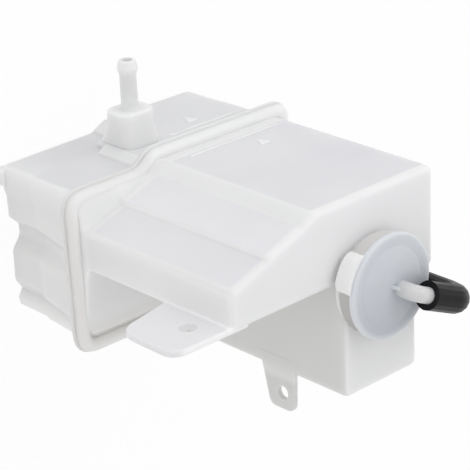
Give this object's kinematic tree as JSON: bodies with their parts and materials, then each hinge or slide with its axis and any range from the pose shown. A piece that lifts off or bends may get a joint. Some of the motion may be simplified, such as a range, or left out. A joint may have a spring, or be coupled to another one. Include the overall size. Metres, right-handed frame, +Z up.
{
  "type": "coolant expansion tank",
  "caption": "Vehicle coolant expansion tank: two welded translucent white mouldings with a side shelf, fixing tabs, hose nipple, push-on cap and black rubber vent elbow.",
  "frame": {"origin": "on the flat base, under the middle of the tank", "axes": "+Z up to the filler cap, -Y out of the face with the hose nipple, +X towards the shelf with the front fixing tab"},
  "size_m": [0.1656, 0.1548, 0.1883],
  "materials": {
    "tank_plastic": "translucent natural white, satin",
    "cap_plastic": "translucent bluish white, satin",
    "rubber": "matt black moulded rubber"
  },
  "bodies": {
    "tank": {"lower_shell": "tank_plastic", "upper_shell": "tank_plastic"},
    "cap": {"filler_cap": "cap_plastic", "cap_seal": "rubber", "vent_elbow": "rubber"}
  },
  "joints": [
    {"name": "cap_pull", "type": "slide", "parent": "tank", "child": "cap", "axis": [0, 0, 1], "range_m": [0, 0.03]}
  ]
}
